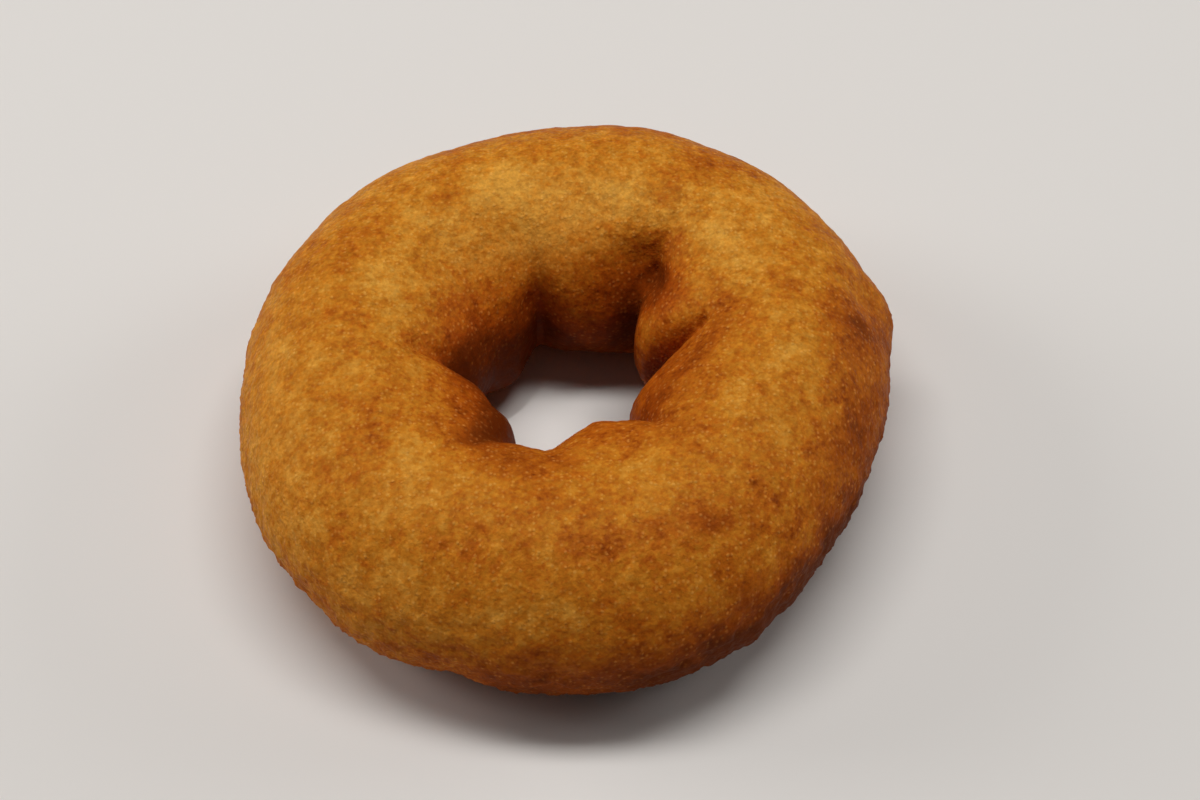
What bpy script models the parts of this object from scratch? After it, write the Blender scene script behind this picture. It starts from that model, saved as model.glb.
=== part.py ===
"""Plain cake doughnut: one fried ring with soft lobes that fold together round its hole.

Metres, +Z up. The origin is on the resting plane, under the middle of the ring's box.
Places on the ring are given by two angles in degrees. "Around" starts at +X and turns
towards +Y. "Over" is 0 on the outer side, 90 on top, 180 in the hole and 270 underneath.
"""

import bpy
import numpy as np

MM = 0.001

# The ring and its oval section.
RING_RADIUS = 28.0 * MM
HALF_WIDTH = 16.0 * MM
HALF_HEIGHT = 15.0 * MM

# The underside is pressed flat by this much where the ring rests, with a soft edge.
REST_DEPTH = 1.6 * MM
REST_EDGE = 0.5 * MM

# Faces round the ring and round its section.
AROUND_STEPS = 120
OVER_STEPS = 40

# Slow waves in the ring's radius: waves in one turn, height, angle of a crest.
WAVES = (
    (2, 1.05 * MM, 59.0),
    (3, 0.51 * MM, 38.0),
    (4, 0.33 * MM, 31.0),
    (5, 0.40 * MM, 4.0),
)

# Soft lobes round the hole: name, around, half of the angle it spans, height.
# Where two of them meet there is a fold, and a gap between two is a hollow.
LOBES = (
    ("left", 148.0, 40.0, 0.4 * MM),
    ("far", 77.0, 27.0, 1.1 * MM),
    ("right", 31.0, 21.0, 2.0 * MM),
    ("near_right", 340.0, 30.0, 0.0 * MM),
    ("near", 287.0, 24.0, 2.0 * MM),
    ("near_left", 216.0, 28.0, 2.1 * MM),
)
HOLLOW_DEPTH = 1.6 * MM
LOBE_FULLNESS = 2.6
LOBE_OVER = 188.0
LOBE_OVER_REACH = 62.0
LOBE_OVER_POWER = 4

# Single swellings and dents: name, around, over, reach round the ring, reach over it, height.
SWELLINGS = (
    ("dent_far_right", 52.0, 136.0, 4.2 * MM, 6.5 * MM, -2.4 * MM),
    ("toe_left", 131.0, 216.0, 5.5 * MM, 8.0 * MM, 2.7 * MM),
    ("shoulder_right", 16.0, 6.0, 4.2 * MM, 5.5 * MM, 1.6 * MM),
    ("shoulder_dent", 12.0, 38.0, 3.0 * MM, 3.5 * MM, -0.8 * MM),
    ("side_swell_left", 170.0, 0.0, 5.0 * MM, 9.0 * MM, 0.35 * MM),
    ("side_dent_left", 149.0, 20.0, 5.0 * MM, 9.0 * MM, -0.3 * MM),
    ("side_swell_near_left", 236.0, -28.0, 5.0 * MM, 9.0 * MM, 0.7 * MM),
    ("side_dent_near_left", 252.0, -35.0, 3.5 * MM, 9.0 * MM, -0.8 * MM),
    ("side_dent_right", 324.0, -20.0, 4.0 * MM, 9.0 * MM, -0.25 * MM),
    ("top_valley_left", 140.0, 100.0, 4.0 * MM, 12.0 * MM, -0.5 * MM),
)

CRUST_COLOUR = (0.53, 0.20, 0.030, 1.0)
CRUST_ROUGHNESS = 0.62


def clear_scene():
    """Removes every object of the scene."""
    for obj in list(bpy.data.objects):
        bpy.data.objects.remove(obj, do_unlink=True)


def turned(angle, start):
    """The angle from start to angle in degrees, between -180 and 180."""
    return (angle - start + 180.0) % 360.0 - 180.0


def ring_radius(around):
    """Radius of the ring's middle line, with its slow waves."""
    radius = np.full_like(around, RING_RADIUS)
    for count, height, crest in WAVES:
        radius += height * np.cos(np.radians(count * (around - crest)))
    return radius


def lobe_relief(around, over):
    """Height of the lobes round the hole, with hollows between them."""
    height = np.full_like(around, -HOLLOW_DEPTH)
    for _name, middle, half_span, top in LOBES:
        share = np.abs(turned(around, middle)) / half_span
        pillow = (top + HOLLOW_DEPTH) * (1.0 - share**LOBE_FULLNESS) - HOLLOW_DEPTH
        height = np.maximum(height, pillow)
    fade = np.exp(-((turned(over, LOBE_OVER) / LOBE_OVER_REACH) ** LOBE_OVER_POWER))
    return height * fade


def swelling_relief(around, over, from_axis):
    """Height of the single swellings and dents, each a soft round mound."""
    height = np.zeros_like(around)
    for _name, middle, over_middle, reach, over_reach, top in SWELLINGS:
        along = np.radians(turned(around, middle)) * from_axis / reach
        across = np.radians(turned(over, over_middle)) * HALF_WIDTH / over_reach
        height += top * np.exp(-(along**2) - across**2)
    return height


def pressed_flat(height):
    """Heights with everything below the resting plane pressed up to it, softly at its edge."""
    eased = (height + REST_EDGE) ** 2 / (4.0 * REST_EDGE)
    return np.where(height > REST_EDGE, height, np.where(height < -REST_EDGE, 0.0, eased))


def crust_points(around, over):
    """Points of the crust for arrays of the two angles, resting on z = 0."""
    turn, rise = np.radians(around), np.radians(over)
    from_axis = ring_radius(around) + HALF_WIDTH * np.cos(rise)
    height = HALF_HEIGHT * np.sin(rise)
    outward, upward = np.cos(rise) / HALF_WIDTH, np.sin(rise) / HALF_HEIGHT
    length = np.hypot(outward, upward)
    relief = lobe_relief(around, over) + swelling_relief(around, over, from_axis)
    from_axis += relief * outward / length
    height += relief * upward / length + HALF_HEIGHT - REST_DEPTH
    height = pressed_flat(height)
    return np.stack([from_axis * np.cos(turn), from_axis * np.sin(turn), height], axis=1)


def centred(points):
    """The points moved so that the middle of their box lies over the origin."""
    middle = (points.min(axis=0) + points.max(axis=0)) / 2.0
    return points - [middle[0], middle[1], 0.0]


def principled(name, colour, roughness):
    """A plain Principled material."""
    material = bpy.data.materials.new(name)
    material.use_nodes = True
    shader = material.node_tree.nodes["Principled BSDF"]
    shader.inputs["Base Color"].default_value = colour
    shader.inputs["Roughness"].default_value = roughness
    shader.inputs["Metallic"].default_value = 0.0
    material.diffuse_color = colour
    return material


def make_doughnut(collection):
    """A torus whose points are moved to the crust's real shape."""
    bpy.ops.mesh.primitive_torus_add(
        align="WORLD",
        major_segments=AROUND_STEPS,
        minor_segments=OVER_STEPS,
        major_radius=RING_RADIUS,
        minor_radius=HALF_WIDTH,
    )
    doughnut = bpy.context.object
    doughnut.name = "doughnut"
    mesh = doughnut.data
    mesh.name = "doughnut"
    start = np.empty(len(mesh.vertices) * 3, np.float32)
    mesh.vertices.foreach_get("co", start)
    x, y, z = start.reshape(-1, 3).astype(np.float64).T
    around = np.degrees(np.arctan2(y, x))
    over = np.degrees(np.arctan2(z, np.hypot(x, y) - RING_RADIUS))
    points = centred(crust_points(around, over))
    mesh.vertices.foreach_set("co", points.astype(np.float32).ravel())
    mesh.shade_smooth()
    mesh.update()
    mesh.materials.append(principled("fried_crust", CRUST_COLOUR, CRUST_ROUGHNESS))
    for holder in list(doughnut.users_collection):
        holder.objects.unlink(doughnut)
    collection.objects.link(doughnut)
    return doughnut


def main():
    clear_scene()
    collection = bpy.data.collections.new("old_fashioned_doughnut")
    bpy.context.scene.collection.children.link(collection)
    make_doughnut(collection)


main()
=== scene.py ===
"""Looks of the plain cake doughnut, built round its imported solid.

Lengths are in metres. Places on the ring are given by two angles in degrees: "around"
starts at +X and turns towards +Y, and "over" is 0 on the outer side, 90 on top, 180 in
the hole and 270 underneath.
"""

import math

import bpy
import numpy as np
from mathutils import Matrix, Vector, noise


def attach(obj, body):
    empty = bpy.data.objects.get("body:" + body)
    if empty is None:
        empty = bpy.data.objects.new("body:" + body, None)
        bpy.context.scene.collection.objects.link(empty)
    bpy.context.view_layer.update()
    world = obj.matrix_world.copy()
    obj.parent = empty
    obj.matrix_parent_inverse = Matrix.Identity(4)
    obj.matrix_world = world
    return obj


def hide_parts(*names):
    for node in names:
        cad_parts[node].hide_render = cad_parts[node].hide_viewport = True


MM = 0.001

# The ring, its oval section and the flat spot that it rests on, as in the solid.
RING_RADIUS = 28.0 * MM
HALF_WIDTH = 16.0 * MM
HALF_HEIGHT = 15.0 * MM
REST_DEPTH = 1.6 * MM
REST_EDGE = 0.5 * MM

# Slow waves in the ring's radius: waves in one turn, height, angle of a crest.
WAVES = (
    (2, 1.05 * MM, 59.0),
    (3, 0.51 * MM, 38.0),
    (4, 0.33 * MM, 31.0),
    (5, 0.40 * MM, 4.0),
)

# Lobes round the hole: around, half of the angle it spans, height.
LOBES = (
    (148.0, 40.0, 0.4 * MM),
    (77.0, 27.0, 1.1 * MM),
    (31.0, 21.0, 2.0 * MM),
    (340.0, 30.0, 0.0 * MM),
    (287.0, 24.0, 2.0 * MM),
    (216.0, 28.0, 2.1 * MM),
)

# Depth between the lobes, how full they are, and how they fade over the ring's section.
HOLLOW_DEPTH = 1.6 * MM
LOBE_FULLNESS = 2.6
LOBE_OVER = 188.0
LOBE_OVER_REACH = 62.0
LOBE_OVER_POWER = 4

# Swellings and dents: around, over, reach round the ring, reach over it, height.
SWELLINGS = (
    (52.0, 136.0, 4.2 * MM, 6.5 * MM, -2.4 * MM),
    (131.0, 216.0, 5.5 * MM, 8.0 * MM, 2.7 * MM),
    (16.0, 6.0, 4.2 * MM, 5.5 * MM, 1.6 * MM),
    (12.0, 38.0, 3.0 * MM, 3.5 * MM, -0.8 * MM),
    (170.0, 0.0, 5.0 * MM, 9.0 * MM, 0.35 * MM),
    (149.0, 20.0, 5.0 * MM, 9.0 * MM, -0.3 * MM),
    (236.0, -28.0, 5.0 * MM, 9.0 * MM, 0.7 * MM),
    (252.0, -35.0, 3.5 * MM, 9.0 * MM, -0.8 * MM),
    (324.0, -20.0, 4.0 * MM, 9.0 * MM, -0.25 * MM),
    (140.0, 100.0, 4.0 * MM, 12.0 * MM, -0.5 * MM),
)

# Faces of the crust's fine surface, round the ring and round its section, and the solid's.
AROUND_STEPS = 600
OVER_STEPS = 160
SOLID_STEPS = (120, 40)

# The rough low band, by its middle over and its reach in degrees.
ROUGH_BAND = (-16.0, 36.0)

# Uneven relief: length of a bump, height, share added in the rough low band.
RELIEF = (
    (15.0 * MM, 0.28 * MM, 0.0),
    (6.0 * MM, 0.16 * MM, 0.3),
    (2.6 * MM, 0.095 * MM, 0.8),
    (1.25 * MM, 0.070 * MM, 3.4),
    (0.8 * MM, 0.050 * MM, 5.0),
)

# Small forms that the solid leaves out, placed as SWELLINGS are.
SMALL_FORMS = (
    (303.0, -9.0, 2.2 * MM, 2.6 * MM, 0.55 * MM),
    (309.0, -4.0, 1.6 * MM, 3.0 * MM, -0.35 * MM),
    (288.0, 150.0, 2.0 * MM, 5.0 * MM, 0.7 * MM),
    (269.0, 136.0, 2.0 * MM, 5.0 * MM, -0.45 * MM),
    (234.0, 166.0, 3.5 * MM, 6.0 * MM, 0.8 * MM),
    (21.0, 8.0, 3.0 * MM, 5.0 * MM, -0.5 * MM),
    (10.5, 4.0, 2.5 * MM, 5.0 * MM, 0.5 * MM),
    (57.0, 126.0, 4.0 * MM, 4.0 * MM, 0.8 * MM),
    (38.0, 138.0, 3.5 * MM, 5.0 * MM, -0.5 * MM),
)

# Folds and grooves of the crust: name, places on their line as around and over, half of
# their width, depth, and the painted shade that darkens the crease.
FOLDS = (
    ("right dent", ((49, 143), (52, 152), (53, 163), (51, 175), (50, 205)), 2.4 * MM, 1.3 * MM, 0.20),
    ("dent hollow", ((57, 140), (58, 165)), 3.2 * MM, 0.8 * MM, 0.12),
    ("right fold", ((9, 131), (8, 146), (11, 165), (16, 190)), 1.0 * MM, 1.0 * MM, 0.14),
    ("far left fold", ((110, 166), (105, 174), (106, 184), (112, 200)), 2.6 * MM, 0.9 * MM, 0.14),
    ("left fold", ((187, 124), (187, 145), (188, 170)), 1.6 * MM, 0.6 * MM, 0.12),
    ("near left fold", ((238, 116), (241, 132), (244, 165)), 1.4 * MM, 0.5 * MM, 0.12),
    ("near fold", ((309, 122), (311, 140), (311, 170)), 1.0 * MM, 0.4 * MM, 0.10),
    ("shoulder line", ((11, 84), (6, 72), (3, 55), (4, 44)), 1.0 * MM, 0.24 * MM, 0.08),
)

# How much wider than its groove a fold's painted shade is.
FOLD_SHADE_WIDTH = 1.5

# Patches of the crust: name, around, over, reach round, reach over, browning. The patches
# named shade are painted shade, and the one named painted light is painted light.
PATCHES = (
    ("far left pale", 113.0, 93.0, 5.5 * MM, 4.5 * MM, -0.17),
    ("far pale", 74.0, 109.0, 5.0 * MM, 4.0 * MM, -0.15),
    ("far right pale", 37.0, 107.0, 4.5 * MM, 4.0 * MM, -0.16),
    ("right pale", 19.0, 100.0, 3.5 * MM, 3.5 * MM, -0.12),
    ("left pale", 166.0, 95.0, 5.0 * MM, 3.5 * MM, -0.13),
    ("left top pale", 140.0, 92.0, 2.5 * MM, 2.5 * MM, -0.12),
    ("left side painted light", 195.0, 65.0, 8.0 * MM, 6.0 * MM, -0.08),
    ("near left pale", 231.0, 93.0, 4.5 * MM, 4.5 * MM, -0.16),
    ("near pale", 283.0, 104.0, 3.5 * MM, 2.5 * MM, -0.10),
    ("near right pale", 327.0, 91.0, 3.5 * MM, 2.5 * MM, -0.14),
    ("right side pale", 350.0, 78.0, 5.0 * MM, 3.0 * MM, -0.14),
    ("far right brown", 56.0, 75.0, 3.5 * MM, 4.0 * MM, 0.16),
    ("far right streak", 60.0, 95.0, 2.0 * MM, 3.0 * MM, 0.10),
    ("far brown", 94.0, 86.0, 2.5 * MM, 2.0 * MM, 0.12),
    ("far left brown", 124.0, 84.0, 3.5 * MM, 3.0 * MM, 0.14),
    ("left brown", 152.0, 76.0, 5.0 * MM, 3.0 * MM, 0.14),
    ("left red", 176.0, 90.0, 4.0 * MM, 3.0 * MM, 0.12),
    ("left top brown", 150.0, 103.0, 2.5 * MM, 2.5 * MM, 0.14),
    ("left side brown", 216.0, 51.0, 4.0 * MM, 3.0 * MM, 0.07),
    ("near left top brown", 222.0, 101.0, 3.0 * MM, 2.5 * MM, 0.08),
    ("left light", 158.0, 82.0, 3.0 * MM, 2.5 * MM, -0.06),
    ("near left light", 243.0, 68.0, 3.5 * MM, 3.0 * MM, -0.07),
    ("low near light", 268.0, 22.0, 4.0 * MM, 3.0 * MM, -0.06),
    ("far wall light", 96.0, 131.0, 9.0 * MM, 6.0 * MM, -0.10),
    ("right lobe light", 24.0, 165.0, 4.0 * MM, 5.0 * MM, -0.12),
    ("near left brown", 213.0, 86.0, 5.0 * MM, 4.0 * MM, 0.14),
    # Painted shade along the near left fold.
    ("near left fold", 237.0, 124.0, 3.5 * MM, 5.0 * MM, 0.20),
    ("near rim", 253.0, 108.0, 6.0 * MM, 4.0 * MM, 0.17),
    ("near brown", 285.0, 67.0, 4.5 * MM, 2.2 * MM, 0.10),
    ("near right spot", 301.0, 61.0, 3.2 * MM, 2.8 * MM, 0.28),
    ("low left brown", 229.0, 41.0, 3.0 * MM, 2.5 * MM, 0.07),
    ("low near brown", 250.0, 60.0, 4.0 * MM, 3.0 * MM, 0.10),
    ("shoulder brown", 4.0, 48.0, 5.0 * MM, 6.0 * MM, 0.17),
    ("right rim brown", 3.0, 116.0, 6.0 * MM, 3.5 * MM, 0.20),
    ("right low brown", 340.0, 38.0, 7.0 * MM, 4.0 * MM, 0.14),
    ("dent shade", 51.0, 147.0, 5.0 * MM, 4.5 * MM, 0.15),
    ("dent foot shade", 50.0, 174.0, 4.5 * MM, 6.0 * MM, 0.16),
    ("far foot shade", 88.0, 208.0, 12.0 * MM, 6.5 * MM, 0.30),
    ("far left wall brown", 140.0, 150.0, 7.0 * MM, 5.0 * MM, 0.08),
    ("right lobe brown", 37.0, 136.0, 3.5 * MM, 5.0 * MM, 0.18),
    ("far rim shade", 80.0, 40.0, 26.0 * MM, 3.0 * MM, 0.14),
    ("near left lip brown", 246.0, 112.0, 3.0 * MM, 3.0 * MM, 0.08),
    ("toe shade", 142.0, 200.0, 11.0 * MM, 9.0 * MM, 0.28),
    ("left wall brown", 172.0, 152.0, 6.0 * MM, 5.0 * MM, 0.10),
    ("near left wall brown", 228.0, 155.0, 6.0 * MM, 5.0 * MM, 0.14),
    ("near right rim brown", 318.0, 134.0, 8.0 * MM, 5.0 * MM, 0.12),
    ("far side shade", 92.0, 52.0, 28.0 * MM, 4.5 * MM, 0.12),
)

# Factor on the browning of every patch.
PATCH_STRENGTH = 1.6

# Waves that let the edges of patches and bands stray: length, shift around and over in
# degrees, seed of each shift. The low band's edge strays more, by this factor.
STRAYS = (
    (4.0 * MM, 2.4, 7.0, 31, 33),
    (1.6 * MM, 0.6, 1.8, 32, 34),
)
LOW_STRAY = 1.4

# Broad changes of browning: length, amount, seed.
BROAD_BROWN = (
    (14.0 * MM, 0.10, 21),
    (6.0 * MM, 0.13, 22),
)

# Browning of the whole crust, and what is added on top of the far side and taken off on
# top of the near side.
BASE_BROWN = -0.01
FAR_TOP_BROWN = -0.06

# Stretches of the ring that differ in browning and in painted light and shade: middle around
# and reach, in degrees.
NEAR_RIGHT = (300.0, 52.0)
LOW_RIGHT = (340.0, 48.0)
LOW_NEAR_LEFT = (222.0, 46.0)
RIGHT_TOP = (335.0, 55.0)

# Where the outer side's browning and painted light take over from the hole's browning and
# painted shade, in degrees from the bottom.
OUTER_SIDE = (-45.0, 15.0)

# The low band and the near edge fade out between these degrees from the bottom. At the near
# right the band's fade is higher by its rise.
LOW_BAND = (70.0, 114.0)
LOW_BAND_RISE = (12.0, 14.0)
LOW_BAND_BROWN = 0.14
LOW_BAND_NEAR_RIGHT_BROWN = 0.34
NEAR_EDGE = (68.0, 122.0)
# The near edge is browner and darkened by painted shade.
NEAR_EDGE_BROWN_AND_SHADE = 0.19

# The low side fades out between these degrees over. At the right it is browner and darkened
# by painted shade, and at the near left it is lightened by painted light.
LOW_SIDE = (15.0, 75.0)
LOW_RIGHT_BROWN_AND_SHADE = 0.26
LOW_NEAR_LEFT_PAINTED_LIGHT = -0.15

# The top and the hole's wall start and end between these degrees over. At the right they are
# darkened by painted shade.
TOP_START = (10.0, 30.0)
HOLE_END = (235.0, 270.0)
RIGHT_TOP_SHADE = 0.07

# The hole's browning, partly the crust's own and partly painted shade, starts between these
# degrees over, later at the far side and earlier at the near side. It gains the far browning
# at the far side and loses it at the near side, and gains the sides' browning and painted
# shade at the left and right and loses it at the near and far sides.
HOLE_START = (116.0, 170.0)
HOLE_START_FARTHER = 20.0
HOLE_BROWN_AND_SHADE = 0.27
HOLE_FAR_BROWN = -0.08
HOLE_SIDES_BROWN_AND_SHADE = 0.10

# Painted shade: a redder tint painted where shade falls, inside the hole, along the folds,
# and at the near side's low edge.
PAINTED_SHADE_START = (108.0, 152.0)
PAINTED_SHADE_END = (265.0, 300.0)
PAINTED_SHADE_IN_FOLDS = 1.5
PAINTED_SHADE_AT_LOW_EDGE = 0.7
LOW_EDGE_AROUND = (272.0, 60.0)
LOW_EDGE_OVER = (15.0, 45.0)

# Strength of the noise in the crust's lightness, and what it gains on the far side.
GRAIN_STRENGTH = 0.98
GRAIN_FARTHER = 0.20

# Tones of the crust from pale to dark, as linear colours.
TONES = (
    (0.0, (0.70, 0.325, 0.045)),
    (0.35, (0.560, 0.200, 0.0155)),
    (0.60, (0.455, 0.122, 0.0080)),
    (0.80, (0.315, 0.066, 0.0045)),
    (1.0, (0.14, 0.028, 0.0030)),
)

# The crust's usual place on the tones, and the redder tint of the painted shade.
CRUST_TONE = 0.39
PAINTED_SHADE_TINT = (1.0, 0.84, 0.72)

# Pale grains of the crust with painted glints on them: colour, size, where their edge fades as
# a share of the size, the chances over which they appear, the browning over which they fade,
# and how much they change the tone and the colour.
GRAIN_AND_GLINT_COLOUR = (1.0, 0.50, 0.14)
PALE_SIZE = 0.54 * MM
PALE_EDGE = (0.08, 0.62)
PALE_CHANCE = (0.45, 1.0)
PALE_FADE = (0.35, 0.90)
PALE_TONE = 0.13
PALE_SHARE = 0.18

# Grains that differ in tone: size, amount. Neighbours blend by this share.
GRAIN_TONES = ((0.44 * MM, 0.24), (0.95 * MM, 0.14))
GRAIN_BLENDING = 0.6

# Noise in the tone: length of a spot, amount.
TONE_NOISE = ((1.3 * MM, 0.42), (3.0 * MM, 0.62), (7.0 * MM, 0.30))

# The changes of tone weaken by this share as the browning goes from the first to the second.
STEADY_BROWN = (0.1, 0.6)
STEADY_WHERE_DARK = 0.8

# Noise in the crust's lightness alone: length of a spot, amount.
SHADE_NOISE = ((0.42 * MM, 0.50), (1.1 * MM, 0.58), (2.0 * MM, 0.24))

# The crust's gloss, and its fine and coarse bumps, each as length and depth.
CRUST_ROUGHNESS = 0.50
ROUGHNESS_CHANGE = 0.5
CRUST_IOR = 1.3
CRUST_SPECULAR = 0.06
FINE_BUMP = (0.40 * MM, 0.11 * MM)
COARSE_BUMP = (1.1 * MM, 0.26 * MM)
GRAIN_AND_GLINT_RISE = 0.6
# The bumps are weaker where the painted shade lies, by this share.
PAINTED_SHADE_SMOOTHING = 0.45

# Places of a Mix node's colours among its inputs, and of its result among its outputs.
MIX_START = 6
MIX_END = 7
MIX_RESULT = 2

# Free edge round each of the map's two rows, as a share of the row.
MAP_MARGIN = 0.004

# Steps that give each seed its own stretch of the noise.
SEED_STEPS = (7.31, 3.17, 5.77)

# The floor lies just under the resting plane.
FLOOR_HALF = 3.0
FLOOR_LEVEL = -0.05 * MM
FLOOR_COLOUR = (0.80, 0.775, 0.75, 1.0)
FLOOR_ROUGHNESS = 0.9
FLOOR_SPECULAR = 0.2

# Area lights: name, place, size along X and across it, watts.
KEY_PLACE = (-0.02, 0.115, 0.80)
AREA_LIGHTS = (
    ("key", KEY_PLACE, (0.8, 0.16), 4.5),
    ("left", (-0.80, 0.20, 0.40), (0.4, 0.4), 2.4),
    ("right", (0.80, 0.24, 0.40), (0.4, 0.4), 1.7),
)
AREA_COLOUR = (1.0, 0.985, 0.965)

# The narrow light on the floor in the hole: target, radius that it lights there, source's
# radius, soft share, watts.
HOLE_TARGET = (-6.0 * MM, 3.0 * MM, 0.0)
HOLE_REACH = 8.0 * MM
HOLE_SOURCE = 4.0 * MM
HOLE_SOFTNESS = 0.6
HOLE_WATTS = 5.0
HOLE_COLOUR = (1.0, 0.99, 0.98)

# Faint even light from all round.
ROOM_COLOUR = (1.0, 0.98, 0.96, 1.0)
ROOM_STRENGTH = 0.06

# The camera: what it faces, its elevation in degrees, its distance, lens and sensor in
# millimetres, and the nearest distance that it sees.
VIEW_CENTRE = (4.02 * MM, -0.40 * MM, 12.0 * MM)
VIEW_ELEVATION = 52.0
VIEW_DISTANCE = 280.0 * MM
VIEW_LENS = 62.33
VIEW_SENSOR = 36.0
VIEW_CLIP_START = 0.01


def turned(angle, start):
    """The angle from start to angle in degrees, between -180 and 180."""
    return (angle - start + 180.0) % 360.0 - 180.0


def closeness(angle, middle, reach):
    """1 at the middle angle, and falling softly to 0 beyond the reach."""
    return np.exp(-((turned(angle, middle) / reach) ** 2))


def ring_radius(around):
    """Radius of the ring's middle line, with its slow waves."""
    radius = np.full_like(around, RING_RADIUS)
    for count, height, crest in WAVES:
        radius += height * np.cos(np.radians(count * (around - crest)))
    return radius


def lobe_relief(around, over):
    """Height of the lobes round the hole, with hollows between them."""
    height = np.full_like(around, -HOLLOW_DEPTH)
    for middle, half_span, top in LOBES:
        share = np.abs(turned(around, middle)) / half_span
        pillow = (top + HOLLOW_DEPTH) * (1.0 - share**LOBE_FULLNESS) - HOLLOW_DEPTH
        height = np.maximum(height, pillow)
    fade = np.exp(-((turned(over, LOBE_OVER) / LOBE_OVER_REACH) ** LOBE_OVER_POWER))
    return height * fade


def mounds(around, over, from_axis, rows):
    """Sum of soft round mounds on the crust, one for each row."""
    height = np.zeros_like(around)
    for *_name, middle, over_middle, reach, over_reach, top in rows:
        along = np.radians(turned(around, middle)) * from_axis / reach
        across = np.radians(turned(over, over_middle)) * HALF_WIDTH / over_reach
        height += top * np.exp(-(along**2) - across**2)
    return height


def pressed_flat(height):
    """Heights with everything below the resting plane pressed up to it, softly at its edge."""
    eased = (height + REST_EDGE) ** 2 / (4.0 * REST_EDGE)
    return np.where(height > REST_EDGE, height, np.where(height < -REST_EDGE, 0.0, eased))


def crust_points(around, over, extra=0.0):
    """Points of the crust. extra is relief that the solid doesn't have."""
    turn, rise = np.radians(around), np.radians(over)
    from_axis = ring_radius(around) + HALF_WIDTH * np.cos(rise)
    height = HALF_HEIGHT * np.sin(rise)
    outward, upward = np.cos(rise) / HALF_WIDTH, np.sin(rise) / HALF_HEIGHT
    length = np.hypot(outward, upward)
    relief = lobe_relief(around, over) + mounds(around, over, from_axis, SWELLINGS) + extra
    from_axis += relief * outward / length
    height += relief * upward / length + HALF_HEIGHT - REST_DEPTH
    height = pressed_flat(height)
    return np.stack([from_axis * np.cos(turn), from_axis * np.sin(turn), height], axis=1)


def angle_grid(around_steps, over_steps):
    """The two angles at every point of an even grid."""
    around = np.arange(around_steps) * 360.0 / around_steps
    over = np.arange(over_steps) * 360.0 / over_steps - 90.0
    return [a.ravel() for a in np.meshgrid(around, over, indexing="ij")]


def noise_at(points, length, seed):
    """Smooth noise between about -1 and 1, with bumps of this length."""
    start = Vector([seed * step for step in SEED_STEPS])
    scaled = points / length
    return np.array([noise.noise(Vector(p) + start) for p in scaled])


def away_from_line(around, over, from_axis, places):
    """Distance on the crust to a line through places that are given by the two angles."""
    nearest = np.full_like(around, np.inf)
    for (around_a, over_a), (around_b, over_b) in zip(places, places[1:]):
        x = np.radians(turned(around, around_a)) * from_axis
        y = np.radians(turned(over, over_a)) * HALF_WIDTH
        end_x = np.radians(turned(around_b, around_a)) * from_axis
        end_y = np.radians(turned(over_b, over_a)) * HALF_WIDTH
        share = np.clip((x * end_x + y * end_y) / (end_x**2 + end_y**2), 0.0, 1.0)
        nearest = np.minimum(nearest, np.hypot(x - share * end_x, y - share * end_y))
    return nearest


def folds(around, over, from_axis):
    """Depth of the folds, and the painted shade that darkens them."""
    depth, brown = np.zeros_like(around), np.zeros_like(around)
    for _name, places, half_width, full_depth, full_shade in FOLDS:
        away = away_from_line(around, over, from_axis, places) / half_width
        depth = np.maximum(depth, full_depth * np.exp(-(away**2)))
        # Painted shade in the crease, which is added to the browning.
        brown = np.maximum(brown, full_shade * np.exp(-((away / FOLD_SHADE_WIDTH) ** 2)))
    return depth, brown


def smooth_step(value, start, end):
    """0 before start, 1 after end, and smooth between them."""
    share = np.clip((value - start) / (end - start), 0.0, 1.0)
    return share * share * (3.0 - 2.0 * share)


def outer_browning_and_painted_light(around, over, stray_over, outer_side):
    """Browning of the low band, the near edge and the low sides, with painted shade at the near
    edge and the low right side and painted light at the low near left.
    """
    near_right = closeness(around, *NEAR_RIGHT)
    from_bottom = np.abs(turned(over + LOW_STRAY * stray_over, -90.0))
    start, end = (edge + rise * near_right for edge, rise in zip(LOW_BAND, LOW_BAND_RISE))
    band = 1.0 - smooth_step(from_bottom, start, end)
    brown = (LOW_BAND_BROWN + LOW_BAND_NEAR_RIGHT_BROWN * near_right) * band
    near_half = 0.5 - 0.5 * np.sin(np.radians(around))
    brown += NEAR_EDGE_BROWN_AND_SHADE * near_half * (1.0 - smooth_step(from_bottom, *NEAR_EDGE))
    low_side = 1.0 - smooth_step(turned(over, 0.0) + stray_over, *LOW_SIDE)
    brown += LOW_RIGHT_BROWN_AND_SHADE * closeness(around, *LOW_RIGHT) * low_side
    brown += LOW_NEAR_LEFT_PAINTED_LIGHT * closeness(around, *LOW_NEAR_LEFT) * low_side
    return brown * outer_side


def hole_browning_and_shade(around, over, stray_over, outer_side):
    """Browning of the inside of the hole, partly the crust's own and partly painted shade."""
    twice = np.cos(np.radians(2.0 * around))
    farther = np.sin(np.radians(around))
    start, end = HOLE_START
    inner = smooth_step((over + stray_over) % 360.0, start + HOLE_START_FARTHER * farther, end)
    brown = HOLE_BROWN_AND_SHADE + HOLE_FAR_BROWN * farther + HOLE_SIDES_BROWN_AND_SHADE * twice
    return brown * inner * (1.0 - outer_side)


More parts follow.
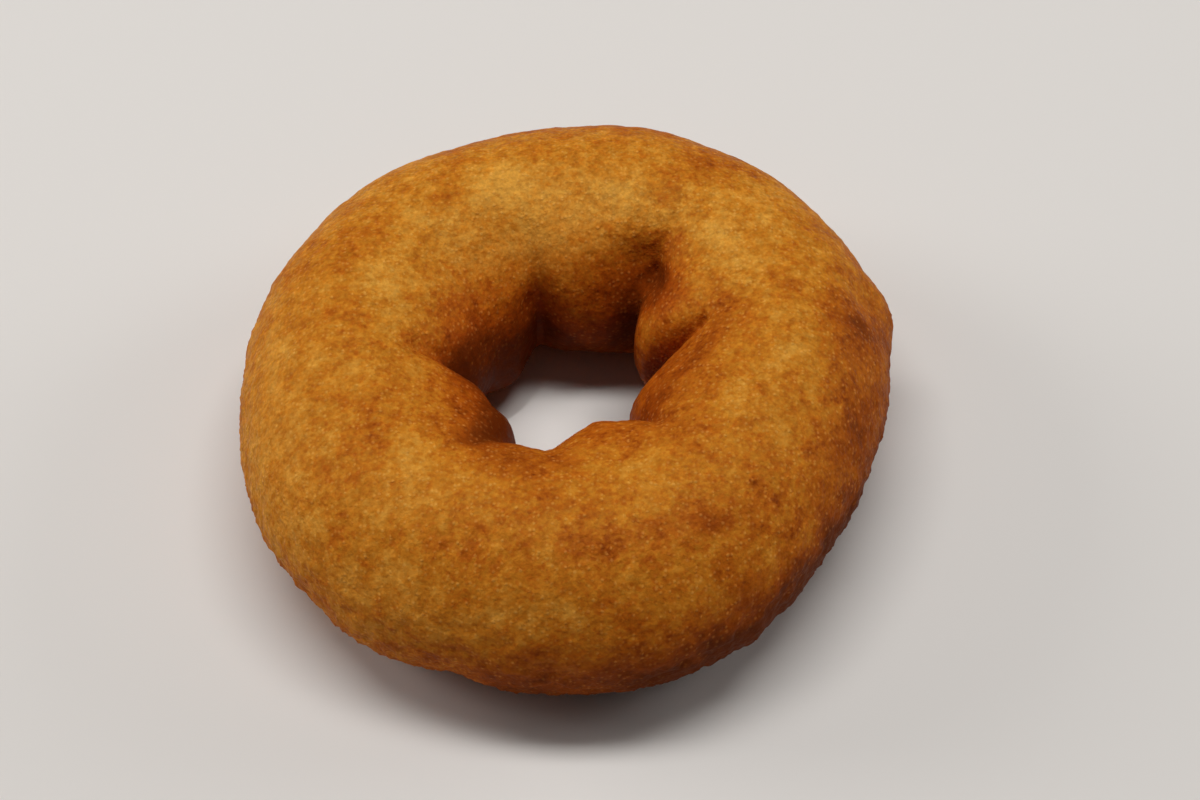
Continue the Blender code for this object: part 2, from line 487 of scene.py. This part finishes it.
def browning_and_painted_light(around, over, places, from_axis):
    """How brown the crust is, with painted shade and painted light in it: 0 is its usual tone, and
    0.6 about its darkest.
    """
    stray_round, stray_over = np.zeros_like(around), np.zeros_like(over)
    for length, shift_round, shift_over, seed_round, seed_over in STRAYS:
        stray_round += shift_round * noise_at(places, length, seed_round)
        stray_over += shift_over * noise_at(places, length, seed_over)
    patches = mounds(around + stray_round, over + stray_over, from_axis, PATCHES)
    brown = BASE_BROWN + PATCH_STRENGTH * patches
    for length, amount, seed in BROAD_BROWN:
        brown += amount * noise_at(places, length, seed)
    brown += FAR_TOP_BROWN * np.sin(np.radians(around)) * np.sin(np.radians(over))
    top_and_hole = smooth_step(over, *TOP_START) * (1.0 - smooth_step(over, *HOLE_END))
    brown += RIGHT_TOP_SHADE * closeness(around, *RIGHT_TOP) * top_and_hole
    outer_side = smooth_step(turned(over, -90.0) + stray_over, *OUTER_SIDE)
    brown += outer_browning_and_painted_light(around, over, stray_over, outer_side)
    return brown + hole_browning_and_shade(around, over, stray_over, outer_side)


def painted_shade_tint(around, over, fold_shade):
    """Share of the painted shade tint, from 0 to 1."""
    over_all = over % 360.0
    inner = smooth_step(over_all, *PAINTED_SHADE_START) * (1.0 - smooth_step(over_all, *PAINTED_SHADE_END))
    low_edge = closeness(around, *LOW_EDGE_AROUND) * closeness(over, *LOW_EDGE_OVER)
    return np.clip(inner + PAINTED_SHADE_IN_FOLDS * fold_shade + PAINTED_SHADE_AT_LOW_EDGE * low_edge, 0.0, 1.0)


def make_crust():
    """Points of the crust, and the values at them that its material reads."""
    around, over = angle_grid(*SOLID_STEPS)
    coarse = crust_points(around, over)
    middle = (coarse.min(axis=0) + coarse.max(axis=0)) / 2.0
    shift = np.array([middle[0], middle[1], 0.0])
    around, over = angle_grid(AROUND_STEPS, OVER_STEPS)
    smooth = crust_points(around, over) - shift
    from_axis = ring_radius(around) + HALF_WIDTH * np.cos(np.radians(over))
    rough_band = closeness(over, *ROUGH_BAND)
    fold_depth, fold_shade = folds(around, over, from_axis)
    relief = mounds(around, over, from_axis, SMALL_FORMS) - fold_depth
    for seed, (length, height, roughening) in enumerate(RELIEF, start=1):
        relief += height * noise_at(smooth, length, seed) * (1.0 + roughening * rough_band)
    points = crust_points(around, over, relief) - shift
    return points, {
        # The brown value holds the browning with the painted shade and painted light in it.
        "brown": browning_and_painted_light(around, over, smooth, from_axis) + fold_shade,
        "painted_shade": painted_shade_tint(around, over, fold_shade),
        "grain": GRAIN_STRENGTH + GRAIN_FARTHER * np.sin(np.radians(around)),
    }


def grid_mesh(name, points, around_steps, over_steps):
    """A closed quad mesh over the two angles, with a map in two rows for half a turn each."""
    i, j = np.meshgrid(np.arange(around_steps), np.arange(over_steps), indexing="ij")
    corner_i = np.stack([i, i + 1, i + 1, i], axis=-1).ravel()
    corner_j = np.stack([j, j, j + 1, j + 1], axis=-1).ravel()
    quads = (corner_i % around_steps * over_steps + corner_j % over_steps).reshape(-1, 4)
    mesh = bpy.data.meshes.new(name)
    mesh.from_pydata(points.tolist(), [], quads.tolist())
    half = around_steps // 2
    row = np.repeat((np.arange(around_steps) >= half).astype(int), over_steps * 4)
    inside = 1.0 - 2.0 * MAP_MARGIN
    u = MAP_MARGIN + inside * (corner_i - row * half) / half
    v = 0.5 * (row + MAP_MARGIN + inside * corner_j / over_steps)
    layer = mesh.uv_layers.new(name="OFBake")
    layer.data.foreach_set("uv", np.stack([u, v], axis=1).astype(np.float32).ravel())
    mesh.shade_smooth()
    mesh.update()
    return mesh


def put_attribute(mesh, name, values):
    """Stores a number at each point, which the material reads by its name."""
    attribute = mesh.attributes.new(name, "FLOAT", "POINT")
    attribute.data.foreach_set("value", values.astype(np.float32))


class Nodes:
    """Short calls for building a material's nodes."""

    def __init__(self, name):
        self.material = bpy.data.materials.new(name)
        self.material.use_nodes = True
        self.tree = self.material.node_tree
        self.shader = self.tree.nodes["Principled BSDF"]

    def add(self, kind, inputs=None, **settings):
        """A node of this kind. inputs are its sockets' values or links, by name."""
        node = self.tree.nodes.new(kind)
        for key, value in settings.items():
            setattr(node, key, value)
        for key, value in (inputs or {}).items():
            self.put(node.inputs[key], value)
        return node

    def put(self, socket, value):
        """Links another node's socket to this one, or sets it to a value."""
        if isinstance(value, bpy.types.NodeSocket):
            self.tree.links.new(value, socket)
        else:
            socket.default_value = value

    def attribute(self, name):
        """The number that the mesh stores under this name."""
        return self.add("ShaderNodeAttribute", attribute_name=name).outputs["Fac"]

    def math(self, operation, a, b):
        """Result of ADD, SUBTRACT or MULTIPLY on two numbers."""
        node = self.add("ShaderNodeMath", operation=operation)
        self.put(node.inputs[0], a)
        self.put(node.inputs[1], b)
        return node.outputs[0]

    def noise(self, place, length):
        """Noise with bumps of this length in metres, as a number round 0.5."""
        node = self.add("ShaderNodeTexNoise", {"Vector": place, "Scale": 1.0 / length})
        return node.outputs[0]

    def waves(self, place, rows):
        """Sum of noises round 0, one for each row of length and amount."""
        total = 0.0
        for length, amount in rows:
            wave = self.math("SUBTRACT", self.noise(place, length), 0.5)
            total = self.math("ADD", self.math("MULTIPLY", wave, amount), total)
        return total

    def grains(self, place, size, blending):
        """A chance for each grain of this size, and the distance from its middle."""
        node = self.add(
            "ShaderNodeTexVoronoi",
            {"Vector": place, "Scale": 1.0 / size},
            feature="SMOOTH_F1" if blending else "F1",
        )
        if blending:
            node.inputs["Smoothness"].default_value = blending
        chance = self.add("ShaderNodeSeparateColor", {"Color": node.outputs["Color"]})
        return chance.outputs[0], node.outputs["Distance"]

    def smooth(self, value, start, end):
        """0 before start, 1 after end, and smooth between them."""
        node = self.add("ShaderNodeMapRange", interpolation_type="SMOOTHSTEP")
        self.put(node.inputs["Value"], value)
        self.put(node.inputs["From Min"], start)
        self.put(node.inputs["From Max"], end)
        return node.outputs["Result"]

    def mix(self, share, start, end):
        """Colour that goes from start to end as share goes from 0 to 1."""
        node = self.add("ShaderNodeMix", data_type="RGBA")
        self.put(node.inputs["Factor"], share)
        self.put(node.inputs[MIX_START], start)
        self.put(node.inputs[MIX_END], end)
        return node.outputs[MIX_RESULT]

    def times(self, colour, tint):
        """Colour multiplied by a tint."""
        node = self.add("ShaderNodeMix", data_type="RGBA", blend_type="MULTIPLY")
        self.put(node.inputs["Factor"], 1.0)
        self.put(node.inputs[MIX_START], colour)
        self.put(node.inputs[MIX_END], (*tint, 1.0))
        return node.outputs[MIX_RESULT]

    def scaled(self, colour, factor):
        """Colour made lighter or darker by a factor."""
        node = self.add("ShaderNodeVectorMath", operation="SCALE")
        self.put(node.inputs[0], colour)
        self.put(node.inputs["Scale"], factor)
        return node.outputs[0]

    def ramp(self, value, stops):
        """Colour for a value, from stops of value and colour."""
        node = self.add("ShaderNodeValToRGB", {"Fac": value})
        ramp = node.color_ramp
        while len(ramp.elements) < len(stops):
            ramp.elements.new(0.5)
        for element, (place, colour) in zip(ramp.elements, stops):
            element.position = place
            element.color = (*colour, 1.0)
        return node.outputs["Color"]


def crust_tone(nodes, place, grain_and_glint):
    """Place on the crust's tones, from 0 at the palest to 1 at the darkest."""
    # The browning, with the painted shade and painted light in it.
    brown = nodes.attribute("brown")
    change = nodes.waves(place, TONE_NOISE)
    for size, amount in GRAIN_TONES:
        chance = nodes.math("SUBTRACT", nodes.grains(place, size, GRAIN_BLENDING)[0], 0.5)
        change = nodes.math("ADD", nodes.math("MULTIPLY", chance, amount), change)
    steadying = nodes.math("MULTIPLY", nodes.smooth(brown, *STEADY_BROWN), STEADY_WHERE_DARK)
    change = nodes.math("MULTIPLY", change, nodes.math("SUBTRACT", 1.0, steadying))
    tone = nodes.math("ADD", nodes.math("ADD", brown, change), CRUST_TONE)
    return nodes.math("SUBTRACT", tone, nodes.math("MULTIPLY", grain_and_glint, PALE_TONE))


def grains_and_glints(nodes, place):
    """Up to 1 in the middle of a pale grain with a painted glint, and 0 between them."""
    chance, away = nodes.grains(place, PALE_SIZE, 0.0)
    core = nodes.math("SUBTRACT", 1.0, nodes.smooth(away, *PALE_EDGE))
    unfaded = nodes.math("SUBTRACT", 1.0, nodes.smooth(nodes.attribute("brown"), *PALE_FADE))
    grain = nodes.math("MULTIPLY", nodes.smooth(chance, *PALE_CHANCE), core)
    return nodes.math("MULTIPLY", grain, unfaded)


def crust_material():
    """Golden-brown crust with patches, painted shade, pale grains with painted glints, and fine
    bumps.
    """
    nodes = Nodes("fried_crust")
    place = nodes.add("ShaderNodeTexCoord").outputs["Object"]
    painted_shade = nodes.attribute("painted_shade")
    grain_and_glint = grains_and_glints(nodes, place)
    colour = nodes.ramp(crust_tone(nodes, place, grain_and_glint), TONES)
    # Painted shade: the colour turns redder where shade falls.
    colour = nodes.mix(painted_shade, colour, nodes.times(colour, PAINTED_SHADE_TINT))
    # Pale grains, lightened further by painted glints.
    colour = nodes.mix(nodes.math("MULTIPLY", grain_and_glint, PALE_SHARE), colour, (*GRAIN_AND_GLINT_COLOUR, 1.0))
    shade = nodes.math("MULTIPLY", nodes.waves(place, SHADE_NOISE), nodes.attribute("grain"))
    colour = nodes.scaled(colour, nodes.math("ADD", shade, 1.0))
    nodes.put(nodes.shader.inputs["Base Color"], colour)
    fine_length, fine_depth = FINE_BUMP
    coarse_length, coarse_depth = COARSE_BUMP
    fine = nodes.noise(place, fine_length)
    coarse = nodes.noise(place, coarse_length)
    gloss = nodes.math("MULTIPLY", nodes.math("SUBTRACT", coarse, 0.5), ROUGHNESS_CHANGE)
    nodes.put(nodes.shader.inputs["Roughness"], nodes.math("ADD", gloss, CRUST_ROUGHNESS))
    nodes.shader.inputs["IOR"].default_value = CRUST_IOR
    nodes.shader.inputs["Specular IOR Level"].default_value = CRUST_SPECULAR
    height = nodes.math("ADD", nodes.math("MULTIPLY", grain_and_glint, GRAIN_AND_GLINT_RISE), fine)
    strength = nodes.math("SUBTRACT", 1.0, nodes.math("MULTIPLY", painted_shade, PAINTED_SHADE_SMOOTHING))
    bumps = {"Height": height, "Distance": fine_depth, "Strength": strength}
    fine_bump = nodes.add("ShaderNodeBump", bumps)
    bumps = {"Height": coarse, "Distance": coarse_depth, "Strength": strength}
    bumps["Normal"] = fine_bump.outputs[0]
    coarse_bump = nodes.add("ShaderNodeBump", bumps)
    nodes.put(nodes.shader.inputs["Normal"], coarse_bump.outputs[0])
    return nodes.material


def floor_material():
    """Plain pale matt floor."""
    nodes = Nodes("pale_floor")
    nodes.shader.inputs["Base Color"].default_value = FLOOR_COLOUR
    nodes.shader.inputs["Roughness"].default_value = FLOOR_ROUGHNESS
    nodes.shader.inputs["Specular IOR Level"].default_value = FLOOR_SPECULAR
    return nodes.material


def link(name, data):
    """An object of this data in the scene."""
    obj = bpy.data.objects.new(name, data)
    bpy.context.scene.collection.objects.link(obj)
    return obj


def make_floor():
    """One square face under the doughnut."""
    mesh = bpy.data.meshes.new("floor")
    signs = ((-1.0, -1.0), (1.0, -1.0), (1.0, 1.0), (-1.0, 1.0))
    corners = [(x * FLOOR_HALF, y * FLOOR_HALF, FLOOR_LEVEL) for x, y in signs]
    mesh.from_pydata(corners, [], [(0, 1, 2, 3)])
    floor = link("floor", mesh)
    mesh.materials.append(floor_material())


def aim(obj, place, target):
    """Puts a camera or a light at a place, facing the target."""
    obj.location = place
    obj.rotation_euler = (Vector(target) - Vector(place)).to_track_quat("-Z", "Y").to_euler()


def area_light(name, place, size, watts):
    """A rectangular light that faces the origin. size is along X and across it."""
    back = Vector(place).normalized()
    side = Vector((0.0, 1.0, 0.0)).cross(back).normalized()
    up = back.cross(side)
    data = bpy.data.lights.new(name, "AREA")
    data.shape = "RECTANGLE"
    data.size, data.size_y = size
    data.energy = watts
    data.color = AREA_COLOUR
    light = link(name, data)
    light.location = place
    light.rotation_euler = Matrix((side, up, back)).transposed().to_euler()


def hole_light():
    """A narrow soft-edged light, from the key light's place to the floor in the hole."""
    data = bpy.data.lights.new("hole", "SPOT")
    away = (Vector(KEY_PLACE) - Vector(HOLE_TARGET)).length
    data.spot_size = 2.0 * math.atan(HOLE_REACH / away)
    data.spot_blend = HOLE_SOFTNESS
    data.shadow_soft_size = HOLE_SOURCE
    data.energy = HOLE_WATTS
    data.color = HOLE_COLOUR
    aim(link("hole", data), KEY_PLACE, HOLE_TARGET)


def make_world():
    """Faint even light from all round."""
    world = bpy.data.worlds.new("soft_room")
    bpy.context.scene.world = world
    world.use_nodes = True
    back = world.node_tree.nodes["Background"]
    back.inputs["Color"].default_value = ROOM_COLOUR
    back.inputs["Strength"].default_value = ROOM_STRENGTH


def make_lights():
    """A key light above, one at each side, one for the hole, and the room's own light."""
    for row in AREA_LIGHTS:
        area_light(*row)
    hole_light()
    make_world()


def make_camera():
    """The camera, in front of the doughnut and above it."""
    data = bpy.data.cameras.new("photo_view")
    data.lens = VIEW_LENS
    data.sensor_width = VIEW_SENSOR
    data.clip_start = VIEW_CLIP_START
    rise = math.radians(VIEW_ELEVATION)
    back = Vector((0.0, -math.cos(rise), math.sin(rise)))
    camera = link("photo_view", data)
    aim(camera, Vector(VIEW_CENTRE) + back * VIEW_DISTANCE, VIEW_CENTRE)
    bpy.context.scene.camera = camera


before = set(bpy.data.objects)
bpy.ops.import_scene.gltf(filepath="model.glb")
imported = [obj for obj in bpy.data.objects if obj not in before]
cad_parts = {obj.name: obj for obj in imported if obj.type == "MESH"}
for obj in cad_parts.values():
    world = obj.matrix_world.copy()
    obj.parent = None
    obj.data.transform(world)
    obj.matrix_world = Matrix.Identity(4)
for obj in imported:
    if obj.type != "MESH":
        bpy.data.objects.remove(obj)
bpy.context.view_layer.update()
bpy.context.scene.view_settings.view_transform = "Standard"

points, values = make_crust()
mesh = grid_mesh("crust", points, AROUND_STEPS, OVER_STEPS)
for key, value in values.items():
    put_attribute(mesh, key, value)
mesh.materials.append(crust_material())
crust = link("crust", mesh)
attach(crust, "root")
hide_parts("doughnut")
make_floor()
make_lights()
make_camera()
